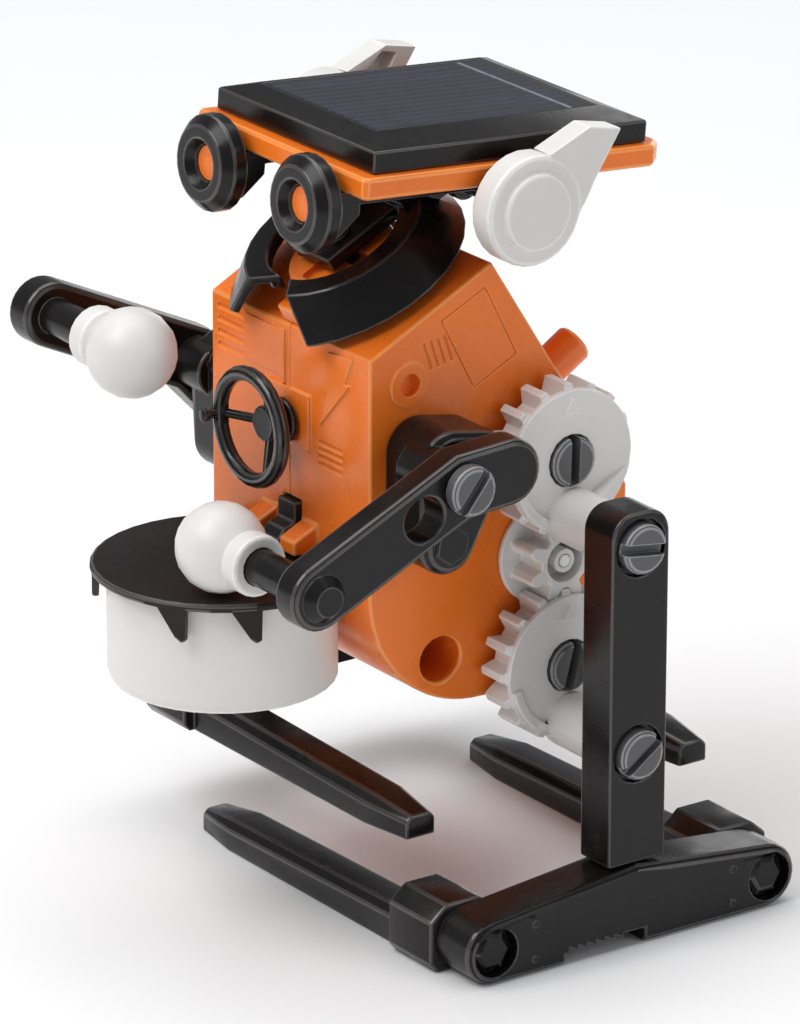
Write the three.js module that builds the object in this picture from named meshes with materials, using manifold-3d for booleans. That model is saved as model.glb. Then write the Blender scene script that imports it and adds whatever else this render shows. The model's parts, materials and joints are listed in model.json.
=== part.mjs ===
// Solar walking robot kit, in millimetres, +Z up. The robot faces -Y, and its own left side is +X.
// The crank axles lie in the plane y = 0 of the robot's own frame. Each side is drawn once, as the
// left side, and the right side is its mirror image, half a crank turn out of step.
import * as THREE from "three";
import { mergeVertices } from "three/addons/utils/BufferGeometryUtils.js";
import Module from "manifold-3d";

const wasm = await Module();
wasm.setup();

// ---- Driving dimensions ----------------------------------------------------------------------

const GAP = 0.1; // between pieces that are fixed together
const RUNNING = 0.06; // radial clearance of a turning fit
const CUT = 1; // how far a cutter runs past the wall that it opens

const BODY_HALF = 24.75; // half the width of the orange casing
const BODY_WALL = 2;
const BODY_FRONT = -37.2;
const BODY_BACK = 19;
const BODY_BASE = 40.2;
const BODY_ROUND = { y: -13.1, z: 64.3, r: 24.1 }; // the belly
const BODY_BROW = new THREE.Vector2(BODY_FRONT, 107.9);
const BODY_PEAK = new THREE.Vector2(-11.2, 121.4);
const BODY_TAIL = new THREE.Vector2(17.8, 76);

const OUTPUT_Z = 65.5; // height of the output shaft
const GEAR_SPACING = 19.35; // output shaft to each crank axle
const GEAR_TEETH = 16;
const PINION_TEETH = 8;
const GEAR_TIP = 14.1;
const GEAR_ROOT = 11.2;
const PINION_TIP = 8;
const CRANK = 10.1; // radius of the crank pins
const TEETH_IN = 26.2; // the outer gear train lies between these two planes
const TEETH_OUT = 32.5;
const DISC_OUT = 33.7;
const CRANK_END = 45.2; // outer end of a crank pin's thick part
const CRANK_R = 5.2;
const CRANK_STUB_R = 3.2; // the leg turns on this thinner end

const LEG_IN = 45.6;
const LEG_OUT = 54.3;
const LEG_WIDE = 12.3;
const LEG_FOOT = 9; // the leg's tenon reaches down into the beam
const BEAM_IN = 45.7;
const BEAM_OUT = 55.8;
const BEAM_FRONT = -31.6; // centres of the beam's round ends, which are also the prongs' centres
const BEAM_REAR = 29;
const BEAM_R = 6;
const BEAM_TOP = 15.1;
const PRONG_TIP = -32.65; // a prong reaches past the middle, so the robot can stand on one foot
const PRONG_WIDE = 9.4;
const PRONG_TALL = 6.9;
const BLOCK_IN = 32.65;

const SHOULDER = new THREE.Vector2(-31.3, 89.55); // axis of both arms
const SHOULDER_OUT = 36.8;
const ARM_IN = 39;
const ARM_OUT = 45.3;
const ARM_R = 6.1;
const FOREARM = 33.1; // shoulder axis to hand pin
const ELBOW_BACK = 10.1; // shoulder axis to the centre of the arm's round rear end
const ARM_BEND = 21.5; // degrees between the forearm and the rear end
const ARM_PITCH = { left: 25, right: -25 }; // degrees, positive lowers the hand
const HAND_X = 14; // centre of the ball hand
const HAND_R = 8.2;

const DRUM = { y: -51.4, low: 44.8, top: 67.1, r: 20.9, lid: 23.8, thick: 1.5 };
const WHEEL = { y: -45.5, z: 90.6, r: 11.2, tube: 1.5 };

const NECK_Y = -23.8; // where the neck axis crosses the sloping top of the casing
const NECK_DISC_R = 10.1;
const NECK_DISC_TOP = 5.5;
const EAR_AXIS = new THREE.Vector2(-8.3, 132.3);
const HEAD_PITCH = 4.17; // degrees, the front edge is the higher one
const EAR_IN = 28.4;
const PLATE = { half: 26.2, front: -31.5, rear: 33.8, low: 3.1, top: 7.1 };
const PANEL = { half: 24.2, front: -28.5, rear: 30.4, wall: 11.1, top: 13 };
const EYE_X = 14.6;
const EYE_R = 8.8;

const CENTRE_SHIFT = 19.6; // moves the crank plane so that the origin is under the middle of the robot

// ---- Materials --------------------------------------------------------------------------------

const plastic = (color, roughness) => new THREE.MeshStandardMaterial({ color, roughness, metalness: 0 });
const orange = plastic(0xe8650f, 0.4);
const black = plastic(0x161616, 0.3);
const white = plastic(0xe9e6e0, 0.45);
const grey = plastic(0x6a6868, 0.5);
const cell = plastic(0x14142c, 0.15);
const steel = new THREE.MeshStandardMaterial({ color: 0xb4b6b8, roughness: 0.3, metalness: 1 });

// ---- Solids -----------------------------------------------------------------------------------

const rad = THREE.MathUtils.degToRad;
const at = (x, y, z) => new THREE.Matrix4().makeTranslation(x, y, z);
const turnX = (degrees) => new THREE.Matrix4().makeRotationX(rad(degrees));

// A closed three.js geometry as a solid, moved by an optional matrix.
function solid(geometry, matrix) {
  const bare = new THREE.BufferGeometry();
  bare.setAttribute("position", geometry.getAttribute("position").clone());
  bare.setIndex(geometry.getIndex());
  if (matrix) bare.applyMatrix4(matrix);
  const merged = mergeVertices(bare, 1e-4);
  const index = merged.index.array;
  const triVerts = [];
  for (let i = 0; i < index.length; i += 3) {
    const [a, b, c] = index.slice(i, i + 3);
    if (a !== b && b !== c && c !== a) triVerts.push(a, b, c);
  }
  const vertProperties = merged.attributes.position.array;
  const mesh = new wasm.Mesh({ numProp: 3, vertProperties, triVerts: new Uint32Array(triVerts) });
  return new wasm.Manifold(mesh);
}

function join(...parts) {
  return parts.reduce((sum, part) => sum.add(part));
}

function cut(base, ...tools) {
  return tools.reduce((left, tool) => left.subtract(tool), base);
}

// Axis changes that stand a drawing up: its u, v and depth become the axes named.
const ALONG_X = new THREE.Matrix4().set(0, 0, 1, 0, 1, 0, 0, 0, 0, 1, 0, 0, 0, 0, 0, 1); // y, z, x
const ALONG_Y = new THREE.Matrix4().set(1, 0, 0, 0, 0, 0, -1, 0, 0, 1, 0, 0, 0, 0, 0, 1); // x, z, -y

function extrude(shape, depth, segments) {
  return new THREE.ExtrudeGeometry(shape, { depth, bevelEnabled: false, curveSegments: segments });
}

// A (y, z) outline between two x planes.
function prismX(shape, x0, x1, segments = 12) {
  return solid(extrude(shape, x1 - x0, segments), at(x0, 0, 0).multiply(ALONG_X));
}

// The same, with its outer edge chamfered. Both edges are when `both` is set.
function chamferedX(shape, x0, x1, chamfer, segments, both = false) {
  const start = both ? x0 : x0 - chamfer - CUT;
  const geometry = new THREE.ExtrudeGeometry(shape, {
    depth: x1 - start - 2 * chamfer,
    bevelThickness: chamfer,
    bevelSize: chamfer,
    bevelOffset: -chamfer,
    bevelSegments: 1,
    curveSegments: segments,
  });
  const made = solid(geometry, at(start + chamfer, 0, 0).multiply(ALONG_X));
  return both ? made : made.trimByPlane([1, 0, 0], x0);
}

// An (x, z) outline between two y planes.
function prismY(shape, y0, y1, segments = 12) {
  return solid(extrude(shape, y1 - y0, segments), at(0, y1, 0).multiply(ALONG_Y));
}

// An (x, y) outline between two z planes, moved by an optional matrix.
function prismZ(shape, z0, z1, segments = 12, matrix = new THREE.Matrix4()) {
  return solid(extrude(shape, z1 - z0, segments), matrix.clone().multiply(at(0, 0, z0)));
}

function circle(u, v, r) {
  return new THREE.Shape().absarc(u, v, r, 0, 2 * Math.PI);
}

function polygon(points) {
  return new THREE.Shape(points.map(([u, v]) => new THREE.Vector2(u, v)));
}

function regular(u, v, r, sides, start = 0) {
  const corner = (i) => start + (2 * Math.PI * i) / sides;
  const point = (i) => [u + r * Math.cos(corner(i)), v + r * Math.sin(corner(i))];
  return polygon(Array.from({ length: sides }, (_, i) => point(i)));
}

function box(x0, x1, y0, y1, z0, z1) {
  const centre = at((x0 + x1) / 2, (y0 + y1) / 2, (z0 + z1) / 2);
  return solid(new THREE.BoxGeometry(x1 - x0, y1 - y0, z1 - z0), centre);
}

const rodX = (y, z, r, x0, x1, segments = 10) => prismX(circle(y, z, r), x0, x1, segments);
// A round hole whose flats, not its corners, lie on the radius.
const boreX = (y, z, r, x0, x1, segments = 8) => rodX(y, z, r / Math.cos(Math.PI / (2 * segments)), x0, x1, segments);
const rodY = (x, z, r, y0, y1, segments = 10) => prismY(circle(x, z, r), y0, y1, segments);

// A profile of [radius, height] points turned about +Z; the first and last lie on the axis,
// or the profile closes on itself.
function turned(profile, segments, matrix = new THREE.Matrix4()) {
  const points = profile.map(([r, h]) => new THREE.Vector2(r, h));
  return solid(new THREE.LatheGeometry(points, segments), matrix.clone().multiply(turnX(90)));
}

// The same profile turned about +X, with its heights along x.
function turnedX(profile, y, z, segments) {
  return turned(profile, segments, at(0, y, z).multiply(new THREE.Matrix4().makeRotationY(Math.PI / 2)));
}

// Outline round circles given as [u, v, r], in anticlockwise order. A radius of zero is a corner.
function hullOutline(circles) {
  const shape = new THREE.Shape();
  circles.forEach(([u, v, r], i) => {
    const normalAngle = (from, to) => {
      const run = Math.hypot(to[0] - from[0], to[1] - from[1]);
      const heading = Math.atan2(to[1] - from[1], to[0] - from[0]);
      return heading - Math.acos((from[2] - to[2]) / run);
    };
    const previous = circles[(i + circles.length - 1) % circles.length];
    const next = circles[(i + 1) % circles.length];
    const start = normalAngle(previous, circles[i]);
    let end = normalAngle(circles[i], next);
    while (end < start) end += 2 * Math.PI;
    if (i === 0) shape.moveTo(u + r * Math.cos(start), v + r * Math.sin(start));
    if (r > 0) shape.absarc(u, v, r, start, end);
    else shape.lineTo(u, v);
  });
  shape.closePath();
  return shape;
}

// A solid between two or more flat loops of the same number of corners, each [x, y, z].
function loft(loops) {
  const sides = loops[0].length;
  const corners = loops.flat(2);
  const index = [];
  for (let k = 0; k < loops.length - 1; k += 1) {
    for (let i = 0; i < sides; i += 1) {
      const a = k * sides + i;
      const b = k * sides + ((i + 1) % sides);
      index.push(a, b, b + sides, a, b + sides, a + sides);
    }
  }
  const last = (loops.length - 1) * sides;
  for (let i = 1; i < sides - 1; i += 1) {
    index.push(0, i + 1, i, last, last + i, last + i + 1);
  }
  const geometry = new THREE.BufferGeometry();
  geometry.setAttribute("position", new THREE.Float32BufferAttribute(corners, 3));
  geometry.setIndex(index);
  return solid(geometry);
}

// A named mesh of a solid.
function part(name, made, material) {
  const mesh = made.getMesh();
  const indexed = new THREE.BufferGeometry();
  indexed.setAttribute("position", new THREE.BufferAttribute(mesh.vertProperties, 3));
  indexed.setIndex(new THREE.BufferAttribute(mesh.triVerts, 1));
  const geometry = indexed.toNonIndexed();
  geometry.computeVertexNormals();
  const object = new THREE.Mesh(geometry, material);
  object.name = name;
  return object;
}

// ---- Gear teeth -------------------------------------------------------------------------------

// Outline of a gear with a tooth gap on the +u axis, and straight flanks.
function gearOutline({ teeth, tip, root, tipHalf, rootHalf }) {
  const pitch = (2 * Math.PI) / teeth;
  const points = [];
  for (let i = 0; i < teeth; i += 1) {
    const middle = (i + 0.5) * pitch;
    const flank = [
      [root, -rootHalf / root],
      [tip, -tipHalf / tip],
      [tip, tipHalf / tip],
      [root, rootHalf / root],
    ];
    flank.forEach(([r, turn]) => points.push([r * Math.cos(middle + turn), r * Math.sin(middle + turn)]));
  }
  return points;
}

// Distance from a point inside the mate's root side, along a ray, to the first edge of an outline.
function reach(outline, origin, direction) {
  let nearest = Infinity;
  outline.forEach(([ax, ay], i) => {
    const [bx, by] = outline[(i + 1) % outline.length];
    const ex = bx - ax;
    const ey = by - ay;
    const cross = direction.x * ey - direction.y * ex;
    if (Math.abs(cross) < 1e-9) return;
    const along = ((ax - origin.x) * ey - (ay - origin.y) * ex) / cross;
    const share = ((ax - origin.x) * direction.y - (ay - origin.y) * direction.x) / cross;
    if (along > 0 && share >= 0 && share <= 1) nearest = Math.min(nearest, along);
  });
  return nearest;
}

// The pinion that a gear leaves when it rolls over a blank: a tooth lies on the +u axis. Each ray
// from the pinion's axis stops at the nearest place that the gear's outline reaches, less a clearance.
function pinionOutline({ teeth, tip, spacing, gear, gearTeeth, clearance }) {
  const raysPerTooth = 8;
  const rollSteps = 72;
  const pitch = (2 * Math.PI) / teeth;
  const tooth = [];
  for (let ray = 0; ray < raysPerTooth; ray += 1) {
    const angle = ((ray + 0.5) / raysPerTooth - 0.5) * pitch;
    let length = tip;
    for (let step = 0; step < rollSteps; step += 1) {
      const roll = ((step / rollSteps) * 2 - 1) * 1.5 * pitch;
      const gearRoll = (roll * teeth) / gearTeeth;
      const turnedRay = angle + roll;
      // The gear's axis lies at +spacing, with a gap facing back to the pinion when roll is zero.
      const origin = new THREE.Vector2(-spacing, 0).rotateAround(new THREE.Vector2(), Math.PI + gearRoll);
      const heading = new THREE.Vector2(Math.cos(turnedRay), Math.sin(turnedRay));
      heading.rotateAround(new THREE.Vector2(), Math.PI + gearRoll);
      length = Math.min(length, reach(gear, origin, heading) - clearance);
    }
    tooth.push([angle, length]);
  }
  const outline = [];
  for (let i = 0; i < teeth; i += 1) {
    tooth.forEach(([angle, r]) => outline.push([r * Math.cos(angle + i * pitch), r * Math.sin(angle + i * pitch)]));
  }
  return outline;
}

function turnOutline(outline, angle) {
  const [c, s] = [Math.cos(angle), Math.sin(angle)];
  return polygon(outline.map(([u, v]) => [u * c - v * s, u * s + v * c]));
}

const WALK_GEAR = gearOutline({
  teeth: GEAR_TEETH,
  tip: GEAR_TIP,
  root: GEAR_ROOT,
  tipHalf: 0.75,
  rootHalf: 1.55,
});
const WALK_PINION = pinionOutline({
  teeth: PINION_TEETH,
  tip: PINION_TIP,
  spacing: GEAR_SPACING,
  gear: WALK_GEAR,
  gearTeeth: GEAR_TEETH,
  clearance: 0.15,
});

// The reduction inside the casing uses one finer pair twice.
const FINE = { wheelTeeth: 24, pinionTeeth: 8, spacing: 12.8, wheelTip: 10.3, pinionTip: 3.9 };
const FINE_WHEEL = gearOutline({
  teeth: FINE.wheelTeeth,
  tip: FINE.wheelTip,
  root: 8.7,
  tipHalf: 0.34,
  rootHalf: 0.7,
});
const FINE_PINION = pinionOutline({
  teeth: FINE.pinionTeeth,
  tip: FINE.pinionTip,
  spacing: FINE.spacing,
  gear: FINE_WHEEL,
  gearTeeth: FINE.wheelTeeth,
  clearance: 0.08,
});

// ---- Slotted plastic screw --------------------------------------------------------------------

// Two half-moon lugs with a slot between them on a round shank along x. The lugs end at `face`.
function slottedScrew({ face, lugs, shankEnd, slotTurn, r = 4.6, shank = 2 }) {
  const lugIn = face - lugs;
  const head = cut(
    turnedX([[0, lugIn], [r, lugIn], [r, face - 0.5], [r - 0.6, face], [0, face]], 0, 0, 20),
    solid(new THREE.BoxGeometry(3 * r, 3 * r, 1.9), at(face, 0, 0).multiply(turnX(slotTurn))
      .multiply(at(1.5 * r - lugs + 1.2, 0, 0))),
  );
  return join(head, rodX(0, 0, shank, shankEnd, lugIn + 0.5, 5));
}

// ---- Casing -----------------------------------------------------------------------------------

// The casing's side outline, moved inwards by `inset`.
function bodyOutline(inset) {
  const line = (from, to) => {
    const normal = new THREE.Vector2(to.y - from.y, from.x - to.x).normalize();
    return { normal, offset: normal.dot(from) - inset };
  };
  const cross = (a, b) => {
    const det = a.normal.x * b.normal.y - a.normal.y * b.normal.x;
    return new THREE.Vector2(
      (a.offset * b.normal.y - b.offset * a.normal.y) / det,
      (a.normal.x * b.offset - b.normal.x * a.offset) / det,
    );
  };
  const front = line(BODY_BROW, new THREE.Vector2(BODY_FRONT, BODY_ROUND.z));
  const back = line(new THREE.Vector2(BODY_BACK, BODY_BASE), new THREE.Vector2(BODY_BACK, BODY_TAIL.y));
  const rump = line(BODY_TAIL, BODY_PEAK);
  const brow = line(BODY_PEAK, BODY_BROW);
  const shape = new THREE.Shape();
  const start = cross(brow, front);
  shape.moveTo(start.x, start.y);
  shape.lineTo(BODY_FRONT + inset, BODY_ROUND.z);
  shape.absarc(BODY_ROUND.y, BODY_ROUND.z, BODY_ROUND.r - inset, Math.PI, 1.5 * Math.PI);
  shape.absarc(BODY_BACK - 5, BODY_BASE + 5, 5 - inset, 1.5 * Math.PI, 2 * Math.PI);
  const tail = cross(back, rump);
  shape.lineTo(tail.x, tail.y);
  const peak = cross(rump, brow);
  shape.lineTo(peak.x, peak.y);
  shape.closePath();
  return shape;
}

const CRANK_AXLES = { upper: OUTPUT_Z + GEAR_SPACING, lower: OUTPUT_Z - GEAR_SPACING };
const STUB_R = 2.8; // the stub that a crank gear turns on
const STUB_END = 29.2;
const SHAFT_R = 1.2;

// The slope's own frame: u along x, v up the slope, height out of it.
const SLOPE = Math.atan2(BODY_PEAK.y - BODY_BROW.y, BODY_PEAK.x - BODY_BROW.x);
const NECK_Z = BODY_BROW.y + (NECK_Y - BODY_BROW.x) * Math.tan(SLOPE);
const neckFrame = at(0, NECK_Y, NECK_Z).multiply(new THREE.Matrix4().makeRotationX(SLOPE));

// Raised and sunk details of one outer side of the casing, and its bosses.
function casingSide(half) {
  let made = half;
  const sunk = (shape, deep = 0.5, segments = 10) => {
    made = made.subtract(prismX(shape, BODY_HALF - deep, BODY_HALF + CUT, segments));
  };
  // Bosses behind the crank axles, the service hole and the shoulder.
  Object.values(CRANK_AXLES).forEach((z) => {
    made = made.add(rodX(0, z, 3.5, 13, BODY_HALF, 7));
    made = made.add(rodX(0, z, STUB_R, BODY_HALF - CUT, STUB_END, 7));
    made = made.subtract(boreX(0, z, 2 + GAP / 2, 12, STUB_END + CUT, 6));
  });
  // Bearings of the output shaft and the lay spindle.
  [{ y: 0, z: OUTPUT_Z, r: SHAFT_R + RUNNING, deep: CUT }, { y: LAY.y, z: LAY.z, r: 1 + GAP / 2, deep: -1.5 }]
    .forEach(({ y, z, r, deep }) => {
      made = made.add(rodX(y, z, r + 1.4, 18.4, BODY_HALF - CUT, 6));
      made = made.subtract(boreX(y, z, r, 17, BODY_HALF + deep, 6));
    });
  const service = { y: -21.9, z: 49.3, r: 4.3 };
  made = made.add(rodX(service.y, service.z, service.r + 1.6, 12, BODY_HALF - CUT, 10));
  made = made.subtract(rodX(service.y, service.z, service.r, 11, BODY_HALF + CUT, 10));
  // Ring boss with a blind hole.
  made = made.add(rodX(-28.9, 102.1, 4.1, BODY_HALF - CUT, BODY_HALF + 0.5, 10));
  sunk(circle(-28.9, 102.1, 2.1), 1.4, 8);
  // Four slanting vents.
  for (let i = 0; i < 4; i += 1) {
    const y = -26.1 + 1.45 * i;
    const z = 108.9 + 0.3 * i;
    sunk(polygon([[y, z], [y + 1.7, z - 5], [y + 2.3, z - 4.9], [y + 0.6, z + 0.1]]));
  }
  // Outline of the access panel, as a narrow groove.
  const middle = [-13.9, 108];
  const panel = [[-22.3, 112.6], [-15, 98.7], [-5.6, 103.4], [-12.7, 117.3]];
  const inner = panel.map(([y, z]) => [middle[0] + 0.95 * (y - middle[0]), middle[1] + 0.95 * (z - middle[1])]);
  const groove = polygon(panel);
  groove.holes.push(polygon(inner));
  sunk(groove, 0.4);
  return made;
}

// Details of the front face, which both halves share across the seam.
function casingFront(made, left) {
  let shell = made;
  const front = (shape, out) => prismY(shape, BODY_FRONT - out, BODY_FRONT + CUT / 2);
  const groove = (shape, deep) => prismY(shape, BODY_FRONT - CUT, BODY_FRONT + deep);
  const rectangle = (x0, x1, z0, z1) => polygon([[x0, z0], [x1, z0], [x1, z1], [x0, z1]]);
  const lugDepth = 5;
  const lug = (x0, x1) => prismX(polygon([
    [BODY_FRONT + CUT, 73.4], [BODY_FRONT - lugDepth, 70.6], [BODY_FRONT - lugDepth, 67.9],
    [BODY_FRONT + CUT, 67.9],
  ]), x0, x1);
  if (left) {
    // Lightning bolt, four short vents and one bracket lug.
    const bolt = polygon([
      [12.2, 106.3], [10.9, 98.9], [12.3, 98.9], [9.7, 92], [18.9, 101.7], [17.4, 101.8], [20.1, 107.1],
    ]);
    shell = shell.add(front(bolt, 0.5));
    for (let i = 0; i < 4; i += 1) {
      shell = shell.subtract(groove(rectangle(8.9, 16.3, 88.4 - 1.35 * i, 89.1 - 1.35 * i), 0.5));
    }
    shell = shell.add(lug(3.8, 8.6));
  } else {
    // Four long vents, a raised panel with its rib, and the other lug.
    for (let i = 0; i < 4; i += 1) {
      shell = shell.subtract(groove(rectangle(-22.7, -14.4, 105.1 - 2.4 * i, 106.1 - 2.4 * i), 0.5));
    }
    shell = shell.add(front(rectangle(-14, -2, 98, 106.6), 0.3));
    shell = shell.add(front(rectangle(-2, -1, 96.8, 107), 0.6));
    shell = shell.add(lug(-8.6, -3.8));
  }
  // Raised pad behind the steering wheel and its bore.
  const pad = left ? rectangle(GAP / 2, 6.6, 86, 96.6) : rectangle(-6.6, -GAP / 2, 86, 96.6);
  shell = shell.add(front(pad, 0.6));
  shell = shell.subtract(rodY(0, WHEEL.z, 1.7, BODY_FRONT - 2, BODY_FRONT + BODY_WALL + CUT, 8));
  // Socket for the drum's tongue.
  shell = shell.subtract(box(-2.1, 3.7, BODY_FRONT - CUT, BODY_FRONT + BODY_WALL + CUT, 70.8, 76));
  return shell;
}

function casingHalf(left) {
  const outer = prismX(bodyOutline(0), GAP / 2, BODY_HALF, 10);
  const inner = prismX(bodyOutline(BODY_WALL), -CUT, BODY_HALF - BODY_WALL, 6);
  // The lower crank axle lies below the base line, so the side wall drops round it.
  const drop = rodX(0, CRANK_AXLES.lower, 8.2, BODY_HALF - BODY_WALL, BODY_HALF, 10);
  let half = casingSide(join(cut(outer, inner), drop));
  if (!left) half = half.mirror([1, 0, 0]);
  half = casingFront(half, left);
  // Opening under the neck disc.
  const neckHole = prismZ(circle(0, 0, NECK_DISC_R - 2), -2 * BODY_WALL, CUT, 10, neckFrame);
  return half.subtract(neckHole);
}

// The peg on the sloping back.
function tailPeg() {
  const slope = Math.atan2(BODY_PEAK.y - BODY_TAIL.y, BODY_PEAK.x - BODY_TAIL.x);
  const y = 7.5;
  const onSlope = new THREE.Matrix4()
    .makeTranslation(12, y, BODY_PEAK.y + (y - BODY_PEAK.x) * Math.tan(slope))
    .multiply(new THREE.Matrix4().makeRotationX(slope - Math.PI));
  return turned([[0, GAP], [6, GAP], [5.2, 3.2], [3.6, 3.2], [3.6, 10.4], [3, 11], [0, 11]], 24, onSlope);
}

// ---- Outer gear train -------------------------------------------------------------------------

// Crank gear about its own axle at the origin, with the crank pin below it.
function crankGear() {
  const quarter = Math.PI / 2;
  const lip = new THREE.Shape().absarc(0, 0, 12.9, rad(192), rad(250));
  lip.absarc(0, 0, 11.2, rad(250), rad(192), true);
  lip.closePath();
  const arrow = polygon([[-1.9, 8.9], [1.5, 8.9], [-0.2, 11.8]]);
  const rib = loft([
    [[DISC_OUT - CUT, 4.6, -7.6], [DISC_OUT - CUT, 12.4, -3.9], [DISC_OUT - CUT, 12.1, -3.1], [DISC_OUT - CUT, 4.3, -6.8]],
    [[DISC_OUT + 2.4, 4.6, -7.6], [DISC_OUT + 0.1, 12.4, -3.9], [DISC_OUT + 0.1, 12.1, -3.1], [DISC_OUT + 2.4, 4.3, -6.8]],
  ]);
  const solidGear = join(
    prismX(turnOutline(WALK_GEAR, quarter + Math.PI / GEAR_TEETH), TEETH_IN, TEETH_OUT),
    rodX(0, 0, 13.2, TEETH_OUT, DISC_OUT, 15),
    rodX(0, -CRANK, CRANK_R, DISC_OUT - CUT, CRANK_END, 9),
    rodX(0, -CRANK, CRANK_STUB_R, CRANK_END - CUT, LEG_OUT - 1.7, 7),
    prismX(lip, DISC_OUT - CUT / 2, DISC_OUT + 0.9, 3),
    prismX(arrow, DISC_OUT - CUT / 2, DISC_OUT + 0.5),
    rib,
  );
  return cut(
    solidGear,
    boreX(0, 0, 4.8, 27.6, CRANK_END, 8),
    boreX(0, 0, STUB_R + RUNNING, TEETH_IN - CUT, 28, 7),
    boreX(0, -CRANK, 2 + GAP / 2, 39.6, LEG_OUT, 6),
  );
}

// Output pinion with its thin flange on the casing side, and a cup with five windows round its hub.
const CUP_FLOOR = 27.5;

function outputPinion() {
  const quarter = Math.PI / 2;
  let made = join(
    prismX(turnOutline(WALK_PINION, quarter + Math.PI / PINION_TEETH), TEETH_IN - 0.25, TEETH_OUT - 0.3),
    rodX(0, 0, 9.7, BODY_HALF + 0.15, TEETH_IN - 0.15, 16),
  );
  made = made.subtract(rodX(0, 0, 3.9, CUP_FLOOR, TEETH_OUT, 10));
  made = made.add(rodX(0, 0, 2.2, CUP_FLOOR - CUT, TEETH_OUT - 0.6, 8));
  for (let i = 0; i < 5; i += 1) {
    const turn = quarter + (i * 2 * Math.PI) / 5;
    const window = regular(3.05 * Math.cos(turn), 3.05 * Math.sin(turn), 0.8, 5, turn);
    made = made.subtract(prismX(window, BODY_HALF, TEETH_OUT + CUT));
  }
  return made.subtract(boreX(0, 0, SHAFT_R + GAP / 2, BODY_HALF, TEETH_OUT + CUT, 6));
}

// The screw in the end of a crank pin, which keeps the leg on.
function legScrew(slotTurn) {
  return slottedScrew({ face: LEG_OUT + 1.7, lugs: 3.1, shankEnd: 40, slotTurn });
}

// ---- Legs and feet ----------------------------------------------------------------------------

const LEG_PINS = { upper: CRANK_AXLES.upper - CRANK, lower: CRANK_AXLES.lower - CRANK };

function legBar() {
  const half = LEG_WIDE / 2;
  const top = LEG_PINS.upper + 6.6;
  const corner = 4.4;
  const outline = new THREE.Shape();
  outline.moveTo(-half, BEAM_TOP + GAP);
  outline.lineTo(half, BEAM_TOP + GAP);
  outline.absarc(half - corner, top - corner, corner, 0, Math.PI / 2);
  outline.absarc(corner - half, top - corner, corner, Math.PI / 2, Math.PI);
  outline.closePath();
  const tenon = box(LEG_IN + 2, LEG_OUT - 2, -4, 4, LEG_FOOT, BEAM_TOP + CUT);
  let made = join(prismX(outline, LEG_IN, LEG_OUT, 8), tenon);
  Object.values(LEG_PINS).forEach((z) => {
    made = made.subtract(rodX(0, z, 5.4, LEG_OUT - 1.5, LEG_OUT + CUT, 9));
    made = made.subtract(boreX(0, z, CRANK_STUB_R + RUNNING, LEG_IN - CUT, LEG_OUT, 7));
  });
  return made;
}

function footBeam() {
  const outline = hullOutline([
    [BEAM_FRONT, BEAM_R, BEAM_R],
    [BEAM_REAR, BEAM_R, BEAM_R],
    [-0.3, BEAM_TOP, 0],
  ]);
  let made = chamferedX(outline, BEAM_IN, BEAM_OUT, 0.9, 7);
  const mortise = box(LEG_IN + 2 - GAP, LEG_OUT - 2 + GAP, -4 - GAP, 4 + GAP, LEG_FOOT - GAP, BEAM_TOP + CUT);
  made = made.subtract(mortise);
  // Stepped notch in the sole, with a row of saw teeth along its roof.
  const notch = [[-16.5, -CUT], [-16.5, 2]];
  for (let i = 0; i < 7; i += 1) {
    notch.push([-15.4 + 2 * i, 2], [-15.4 + 2 * i, 2.9]);
  }
  notch.push([1.1, 2.9], [1.1, -CUT]);
  made = made.subtract(prismX(polygon(notch), BEAM_IN - CUT, BEAM_OUT + CUT));
  [BEAM_FRONT, BEAM_REAR].forEach((y) => {
    const inward = y < 0 ? 1 : -1;
    made = made.subtract(boreX(y, BEAM_R, 4.5, BEAM_IN - CUT, BEAM_OUT + CUT, 9));
    [2.9, 9.6].forEach((z) => {
      made = made.add(rodX(y + inward * 8.4, z, 0.75, BEAM_OUT - CUT, BEAM_OUT + 0.35, 4));
    });
  });
  return made;
}

// One prong with its octagonal block and the hexagonal tenon that plugs into the beam.
function footProng(y) {
  const section = (x, wide, tall, chamfer) => [
    [x, y - wide / 2, 0],
    [x, y + wide / 2, 0],
    [x, y + wide / 2, tall - chamfer],
    [x, y + wide / 2 - chamfer, tall],
    [x, y - wide / 2 + chamfer, tall],
    [x, y - wide / 2, tall - chamfer],
  ];
  const bar = loft([
    section(PRONG_TIP, 6.1, 4.4, 1),
    section(PRONG_TIP + 10.5, PRONG_WIDE, PRONG_TALL - 1.2, 1.7),
    section(BLOCK_IN + CUT, PRONG_WIDE, PRONG_TALL, 1.7),
  ]);
  const block = prismX(polygon([
    [y - 5.6, 0], [y + 5.6, 0], [y + 7, 1.6], [y + 7, 9.7], [y + 3.6, 12.6], [y - 3.6, 12.6], [y - 7, 9.7], [y - 7, 1.6],
  ]), BLOCK_IN, BEAM_IN - GAP);
  const tenon = rodX(y, BEAM_R, 4.35, BEAM_IN - CUT, BEAM_OUT - 2.4, 9);
  const hex = turnedX([[0, BEAM_OUT - 3], [4.1, BEAM_OUT - 3], [4.1, BEAM_OUT - 1.6], [2.9, BEAM_OUT - 0.9],
    [0, BEAM_OUT - 0.9]], y, BEAM_R, 6);
  return join(bar, block, tenon, hex);
}

// ---- Shoulders and arms -----------------------------------------------------------------------

const CASTELLATION = { y: -28.2, z: 75.8 };

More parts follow.
